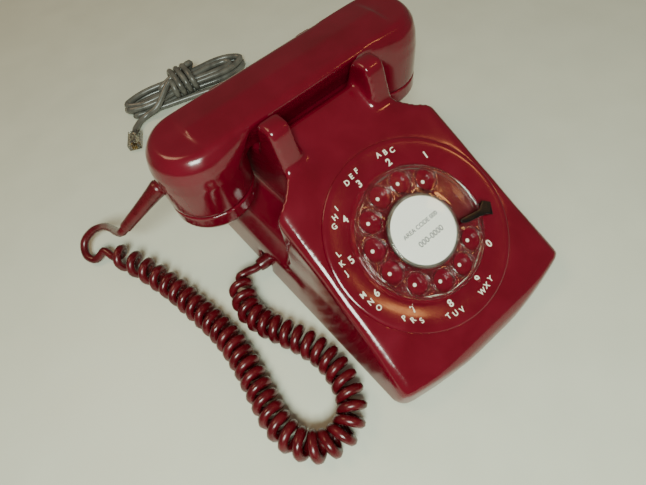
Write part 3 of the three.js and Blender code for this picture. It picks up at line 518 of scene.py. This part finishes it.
# %% Number ring
DIAL_PLANE = 56.7 * MM
face_tilt = math.radians(30)
tipped = Matrix.Translation((0, DIAL_Y * MM, DIAL_PLANE)) @ Matrix.Rotation(face_tilt, 4, "X")
ring_section = [
    (9, 0), (44.8, 0), (45.6, 0.12), (46.4, 0.42), (47.2, 0.7), (58.9, 2.1), (60.6, 2.3), (62.3, 2.3),
    (63.4, 2.05), (63.9, 1.7), (63.9, 1.5), (60.6, 1.5), (60.2, -0.4), (47.2, -1.6), (9, -1.6),
]
number_ring = make_piece("dial_ring", placed(turned(ring_section, 192, close=True), tipped), abs_red, "root",
                         ("number_ring",), smooth_angle=50)


def ring_height(radius):
    """How high the ring's surface stands above its flat middle, in millimetres."""
    for (inner, low), (outer, high) in zip(ring_section, ring_section[1:8]):
        if inner <= radius <= outer:
            return low + (high - low) * (radius - inner) / (outer - inner)
    return 0.0


# %% [markdown]
# ## Printing on the ring
# White numbers and letters, each upright to the user, and a white dot under each finger hole. The digits
# sit just outside the wheel and the letters outside them. A built-in typeface is thickened a little, made
# a mesh, and laid down on the cone of the ring. The ink stands 0.07 mm proud.


# %% Lettering helper
def lettering(mesh, text, size_mm, x, y, bold, surface, thickness=0.07):
    """Adds one line of text to the mesh, centred on x, y, and lying on the given surface height."""
    curve = bpy.data.curves.new("line_of_text", "FONT")
    curve.body = text
    curve.size = size_mm
    curve.offset = bold
    curve.align_x = "CENTER"
    curve.align_y = "CENTER"
    curve.resolution_u = 5
    curve.extrude = thickness / 2
    holder = add_object("line_of_text", curve)
    flat = bpy.data.meshes.new_from_object(holder.evaluated_get(bpy.context.evaluated_depsgraph_get()))
    bpy.data.objects.remove(holder)
    before = len(mesh.verts)
    mesh.from_mesh(flat)
    mesh.verts.ensure_lookup_table()
    for vert in mesh.verts[before:]:
        vert.co.x += x
        vert.co.y += y
        vert.co.z += thickness / 2 + surface(math.hypot(vert.co.x, vert.co.y))


# %% Numbers, letters and dots
HOLE_CIRCLE = 34.2
FIRST_HOLE = math.radians(44)
HOLE_PITCH = math.radians(30)
FIRST_DIGIT_CIRCLE, DIGIT_CIRCLE, LETTER_CIRCLE = 52.6, 49.4, 56.2
hole_angles = [FIRST_HOLE + index * HOLE_PITCH for index in range(10)]
letter_groups = ["", "ABC", "DEF", "GHI", "JKL", "MNO", "PRS", "TUV", "WXY", ""]
ink = bmesh.new()
for index, (angle, letters) in enumerate(zip(hole_angles, letter_groups)):
    radius = FIRST_DIGIT_CIRCLE if index == 0 else DIGIT_CIRCLE
    lettering(ink, str((index + 1) % 10), 6.7, radius * math.cos(angle), radius * math.sin(angle), 0.16,
              ring_height)
    clockwise = -1 if index < 5 else 1
    for place, letter in zip((-1, 0, 1), letters):
        turn = angle + clockwise * place * math.radians(4.9 + 1.5 * abs(math.cos(angle)))
        lettering(ink, letter, 4.9, LETTER_CIRCLE * math.cos(turn), LETTER_CIRCLE * math.sin(turn), 0.11,
                  ring_height)
    dot = bmesh.new()
    bmesh.ops.create_cone(dot, cap_ends=True, segments=24, radius1=1.25, radius2=1.15, depth=0.1)
    bmesh.ops.translate(dot, vec=(HOLE_CIRCLE * math.cos(angle), HOLE_CIRCLE * math.sin(angle), 0.06),
                        verts=dot.verts)
    ink.from_mesh(mesh_data("dot", dot))
bmesh.ops.scale(ink, vec=(MM, MM, MM), verts=ink.verts)
ring_lettering = make_piece("ring_lettering", placed(ink, tipped), white_ink, "root", smooth_angle=20)
print("ring lettering:", len(ring_lettering.data.polygons), "faces")

# %% [markdown]
# ## Finger wheel
# One casting in clear acrylic: a flat disc with a bead round its rim and a raised collar round each of
# the ten holes. The edges bend light most, so they are what shows. The disc is turned, the collars are
# joined to it and the holes cut through, and a bevel rounds what is left.

# %% Finger wheel
WHEEL_RADIUS, WHEEL_LOW, SHAFT_BORE, HOLE_RADIUS = 43.8, 3.5, 4.3, 7.3
wheel_section = [
    (SHAFT_BORE, WHEEL_LOW - 0.4), (12, WHEEL_LOW - 0.4), (16, WHEEL_LOW), (41.2, WHEEL_LOW), (42.4, 2.5),
    (43.5, 2.5), (WHEEL_RADIUS, 2.9), (WHEEL_RADIUS, 5.9), (43.4, 6.4), (42.6, 6.45), (41.8, 5.9),
    (24.4, 5.7), (23.8, 6.3), (SHAFT_BORE, 6.3),
]
finger_wheel = make_piece("clear_wheel", turned(wheel_section, 160, close=True), acrylic, "dial_wheel",
                          ("finger_wheel",), smooth_angle=40)


def ten_rings(name, profile, close):
    """The same turned shape at each of the ten finger holes, as one object."""
    rings = bmesh.new()
    one = mesh_data(name, turned(profile, 48, close))
    for angle in hole_angles:
        before = len(rings.verts)
        rings.from_mesh(one)
        rings.verts.ensure_lookup_table()
        bmesh.ops.translate(rings, verts=rings.verts[before:], vec=(
            HOLE_CIRCLE * math.cos(angle) * MM, HOLE_CIRCLE * math.sin(angle) * MM, 0))
    return add_object(name, mesh_data(name, rings))


collars = ten_rings("collars", [
    (HOLE_RADIUS - 0.6, 2.8), (8.2, 2.8), (8.5, 3.2), (8.5, 5.9), (8.1, 6.4), (HOLE_RADIUS - 0.6, 6.4),
], True)
drills = ten_rings("drills", [(0, 0), (HOLE_RADIUS, 0), (HOLE_RADIUS, 10), (0, 10)], False)
for tool, operation in ((collars, "UNION"), (drills, "DIFFERENCE")):
    modify(finger_wheel, "BOOLEAN", object=tool, operation=operation, solver="EXACT")
    apply_modifiers(finger_wheel)
    bpy.data.objects.remove(tool)
modify(finger_wheel, "BEVEL", width=0.3 * MM, segments=3, limit_method="ANGLE", angle_limit=math.radians(35))
apply_modifiers(finger_wheel)
finger_wheel.data.transform(tipped)
shade_smooth(finger_wheel.data, 45)
print("finger wheel:", len(finger_wheel.data.polygons), "faces")

# %% [markdown]
# ## Number card, its window and the finger stop
# A printed paper card lies in the middle of the wheel under a small clear dome with a thick rim. Its
# number is a row of zeros. The stop is a black enamelled steel finger, screwed down outside the wheel.

# %% Card, window and stop
paper = make_piece("paper_card", placed(turned([(0, 7.72), (22.2, 7.72), (22.2, 8.0), (0, 8.0)], 96), tipped),
                   card_stock, "dial_wheel", ("number_card",))
CARD_FACE = 8.01
print_ink = bmesh.new()
lettering(print_ink, "AREA CODE 000", 4.0, 0, 3.6, 0.03, lambda radius: CARD_FACE, 0.03)
lettering(print_ink, "000-0000", 5.4, 1.2, -6.0, 0.02, lambda radius: CARD_FACE, 0.03)
bmesh.ops.scale(print_ink, vec=(MM, MM, MM), verts=print_ink.verts)
card_print = make_piece("card_print", placed(print_ink, tipped), dark_ink, "dial_wheel", smooth_angle=20)
window_section = [
    (0, 8.45), (23.1, 8.45), (23.1, 7.75), (24.8, 7.75), (24.9, 8.1), (24.6, 8.9), (23.8, 9.5), (22.4, 9.75),
    (21, 9.8), (12, 9.98), (0, 10.05),
]
card_dome = make_piece("card_dome", placed(turned(window_section, 128), tipped), thin_acrylic, "dial_wheel",
                       ("card_window",), smooth_angle=35)
stop_finger = moulded("stop_finger", "finger_stop", black_enamel, "root",
                      cell_mm=0.3, passes=5)

# %% [markdown]
# ## Modular plug
# The line cord ends in a small clear plug: a polycarbonate block with a springy latch above it and four
# yellow metal contacts at its nose, which share the brass finish.

# %% Modular plug
plug_corner = desk_route([(-82.9, 302.2, 5.2)])[0]
plug_place = Matrix.Translation(plug_corner) @ Matrix.Rotation(math.radians(-29), 4, "Z")


def block(x0, x1, y0, y1, z0, z1, edge):
    mesh = bmesh.new()
    bmesh.ops.create_cube(mesh, size=1.0)
    bmesh.ops.scale(mesh, vec=((x1 - x0) * MM, (y1 - y0) * MM, (z1 - z0) * MM), verts=mesh.verts)
    bmesh.ops.translate(mesh, vec=((x0 + x1) / 2 * MM, (y0 + y1) / 2 * MM, (z0 + z1) / 2 * MM),
                        verts=mesh.verts)
    bmesh.ops.bevel(mesh, geom=mesh.edges[:], offset=edge * MM, segments=3, affect="EDGES", profile=0.5,
                    material=-1)
    return placed(mesh, plug_place)


plug_body = make_piece("plug_body", block(-6, 6, -21, 0, -3.4, 3.3, 0.6), polycarbonate, "root",
                       ("modular_plug",))
plug_latch = make_piece("plug_latch", block(-2.8, 2.8, -18, -4, 3.6, 5.2, 0.4), polycarbonate, "root")
plug_contacts = [make_piece(f"plug_contact_{n + 1}", block(
    -2.4 + n * 1.3, -1.7 + n * 1.3, -20.6, -15, -3.1, 1.0, 0.1), brass, "root") for n in range(4)]

# %% [markdown]
# ## The curly handset cord
# On the real cord a straight lead leaves the handset, winds into a long tight helix, and comes straight
# again before the housing. The helix here is worked out turn by turn about the middle line of the coil,
# so that the cord keeps its real length. It becomes a mesh.

# %% Curly cord route
STRAND = 6.5 * MM
CURL = 20.6 * MM
CURL_HEIGHT = CURL / MM / 2 + 0.1
CORD_HOLE_HEIGHT = 10.4
lead_points = desk_route([
    (-142.8, 148.1, 57.77), (-146.6, 149.6, 54.8), (-149.6, 161, 46.5), (-152.2, 180, 34), (-157, 197, 24),
    (-166, 206.5, 18), (-177, 207.5, 12), (-182.4, 199.5, 6.4), (-179.6, 191.6, 4.2), (-173.6, 190.4, 6.2),
    (-168.6, 188.9, 9.4),
])
curl_points = desk_route([
    (x, y, CURL_HEIGHT) for x, y in [
        (-165.4, 182), (-157, 163), (-148, 136), (-141.5, 108), (-137, 81), (-134, 55), (-135, 30), (-139, 4),
        (-142, -16), (-140, -33), (-131.5, -45), (-118.5, -49.5), (-106, -46), (-97, -36), (-92.5, -21),
        (-92, -5), (-96, 12), (-102, 28), (-108, 44), (-110, 60), (-104.5, 76), (-100.5, 83), (-95, 86),
    ]
])
tail_points = desk_route([
    (-91.6, 85.4, 11), (-86.8, 84, CORD_HOLE_HEIGHT), (-80, 84, CORD_HOLE_HEIGHT),
])
TIGHT_PITCH, OPEN_PITCH, LAST_PITCH = 8.9, 17.0, 3.5  # the last is added to the tight pitch at the tail
OPEN_LENGTH, LAST_LENGTH = 150, 30
GROW_LENGTH, SHRINK_LENGTH = 9, 15
STEPS_PER_TURN = 18


def curl_line(middle, radius):
    """A helix about the middle line. It opens out at the handset's end, and its radius grows from nothing
    and shrinks back at the ends."""
    stations = even_steps(middle, 0.5)
    step = route_length(middle) / (len(stations) - 1) / MM
    total = step * (len(stations) - 1)
    side = Vector((1, 0, 0))
    angle, next_angle, line = math.pi, math.pi, []
    for index, place in enumerate(stations):
        ahead = stations[min(index + 1, len(stations) - 1)] - stations[max(index - 1, 0)]
        ahead.normalize()
        side = (side - ahead * side.dot(ahead)).normalized()
        other = ahead.cross(side)
        along = index * step
        if angle >= next_angle:
            ramp = min(1.0, along / GROW_LENGTH, (total - along) / SHRINK_LENGTH)
            grown = radius * math.sin(max(ramp, 0) * math.pi / 2)
            line.append(place + side * math.cos(angle) * grown + other * math.sin(angle) * grown)
            next_angle += 2 * math.pi / STEPS_PER_TURN
        opened = max(0.0, 1 - along / OPEN_LENGTH) ** 2
        pitch = TIGHT_PITCH + (OPEN_PITCH - TIGHT_PITCH) * opened
        pitch += LAST_PITCH * max(0.0, 1 - (total - along) / LAST_LENGTH)
        angle += 2 * math.pi * step / pitch
    return line, round((angle - math.pi) / (2 * math.pi))


curl, turn_count = curl_line(smooth_route(curl_points, 1.0), (CURL - STRAND) / 2)
handset_cord_line = even_steps(smooth_route([*lead_points, *curl[3:-3:2], *tail_points], 1.0), 2.2)
print("curly cord:", turn_count, "turns,", round(route_length(handset_cord_line), 3), "m of strand")

# %% Curly cord piece
cord_shape = cord_curve("handset_cord_shape", handset_cord_line, STRAND, pvc_red, sides=2)
graph = bpy.context.evaluated_depsgraph_get()
handset_cord = add_object("handset_cord", bpy.data.meshes.new_from_object(cord_shape.evaluated_get(graph)))
bpy.data.objects.remove(cord_shape)
shade_smooth(handset_cord.data)
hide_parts("handset_cord_lead", "handset_cord_curl", "handset_cord_tail")
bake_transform(handset_cord)

# %% [markdown]
# ## The line cord
# About 1.7 metres of grey cord are folded into a hank behind the telephone. Its runs nip together in the
# middle, where the last of the cord is wound round them, and fan out into loops at both ends. Each pair
# of runs is one closed oval, drawn by an angle, and the next oval lies beside or on the one before.

# %% Line cord route
LINE = 6.2 * MM
LINE_LOW = LINE / MM / 2 + 0.25
line_lead = desk_route([
    (15, 157, CORD_HOLE_HEIGHT), (15, 164, CORD_HOLE_HEIGHT), (15.8, 175, 7.6), (18, 184, 4.8),
    (23, 200, LINE_LOW), (31, 222, LINE_LOW), (39, 244, LINE_LOW), (44, 266, LINE_LOW), (45, 284, LINE_LOW),
])
hank_from, hank_to = desk_route([(-64, 335, 0), (45, 314, 0)])
hank_middle = (hank_from + hank_to) / 2
hank_along = (hank_to - hank_from).normalized()
hank_across = Vector((-hank_along.y, hank_along.x, 0))
HANK_HALF_LENGTH = 72
nip = LINE / MM + 0.1


def in_hank(along, across, height):
    return hank_middle + (hank_along * along + hank_across * across + Vector((0, 0, height))) * MM


hank_line = []
OVALS = [(layer, ring) for layer in range(2) for ring in (1, 0)]
STEPS_PER_OVAL = 40
for layer, ring in OVALS:
    nip_across = nip / 2 + ring * nip
    fan_across = 9.5 + ring * 8.0 - layer * 1.2
    reach = HANK_HALF_LENGTH - 12 + ring * 9 - layer * 2.5
    for step in range(STEPS_PER_OVAL):
        angle = 2 * math.pi * step / STEPS_PER_OVAL
        share = abs(math.cos(angle)) ** 1.6
        across = math.sin(angle) * (nip_across + (fan_across - nip_across) * min(1.0, 1.9 * share))
        lift = nip * (1 - share)
        height = LINE_LOW + layer * nip * 0.95 + lift * 0.2
        hank_line.append(in_hank(-reach * math.cos(angle), -across, height))
hank_line = even_steps(smooth_route(hank_line[::2], 3.0), 3.0)

# %% Line cord wraps and tail
WRAPS, STEPS_PER_WRAP, WRAPS_HALF_LENGTH = 4, 18, 14
wrap_half_width = nip * 1.5 + LINE / MM * 0.95
wrap_half_height = nip * 1.5
wrap_middle = LINE_LOW + wrap_half_height
wraps = []
for step in range(WRAPS * STEPS_PER_WRAP + 1):
    angle = 2 * math.pi * step / STEPS_PER_WRAP
    along = WRAPS_HALF_LENGTH - 2 * WRAPS_HALF_LENGTH * step / (WRAPS * STEPS_PER_WRAP)
    across = wrap_half_width * math.copysign(abs(math.sin(angle)) ** 0.75, math.sin(angle))
    height = wrap_middle + wrap_half_height * math.copysign(abs(math.cos(angle)) ** 0.75, math.cos(angle))
    wraps.append(in_hank(along, across, height))
tail = desk_route([
    (-48, 313, 10), (-62, 316, 5), (-71, 315, 3.6), (-76.3, 311, 4), (-79.2, 308.2, 4.6), (-82.6, 302.8, 5.2),
    (-84.6, 299.2, 5.2),
])
line_cord_line = even_steps(smooth_route([*line_lead, *hank_line[6:-6:5], *wraps[2::3], *tail], 2.0), 2.6)
print("line cord:", round(route_length(line_cord_line), 3), "m")
line_cord = cord_curve("line_cord", line_cord_line, LINE, pvc_grey)
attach(line_cord, "root")
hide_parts("line_cord_lead", "line_cord_hank", "line_cord_tail")

# %% [markdown]
# ## Desk and light
# A plain pale top and soft lamps overhead.

# %% Floor
floor_mesh = bmesh.new()
bmesh.ops.create_grid(floor_mesh, x_segments=1, y_segments=1, size=3.0)
floor = add_object("floor", mesh_data("floor", floor_mesh))
floor.data.materials.append(finish("painted_table_top", plain(
    ("#D4D5C6", "#D8D9CA"), (0.34, 0.42), grain_mm=45, bump=0.0)))


# %% Lamps
def lamp(name, place, target, size, power, colour):
    light = bpy.data.lights.new(name, "AREA")
    light.shape = "RECTANGLE"
    light.size, light.size_y = size
    light.energy = power
    light.color = linear(colour)[:3]
    holder = add_object(name, light)
    direction = Vector(target) - Vector(place)
    holder.matrix_world = Matrix.Translation(place) @ direction.to_track_quat("-Z", "Y").to_matrix().to_4x4()
    return holder


lamp("window", (-0.36, -0.5, 0.72), (-0.12, -0.04, 0.02), (0.34, 0.28), 12, "#EEFFF0")
lamp("desk_lamp", (0.66, -0.6, 0.92), (0.03, -0.04, 0.06), (0.12, 0.09), 0.55, "#FFB469")
lamp("ceiling_lamp", (-0.5, 0.75, 1.3), (0, 0.1, 0), (0.6, 0.5), 5, "#FFD9A8")
world = bpy.data.worlds.new("room")
world.use_nodes = True
world.node_tree.nodes["Background"].inputs["Color"].default_value = linear("#D8CBB8")
world.node_tree.nodes["Background"].inputs["Strength"].default_value = 0.22
bpy.context.scene.world = world
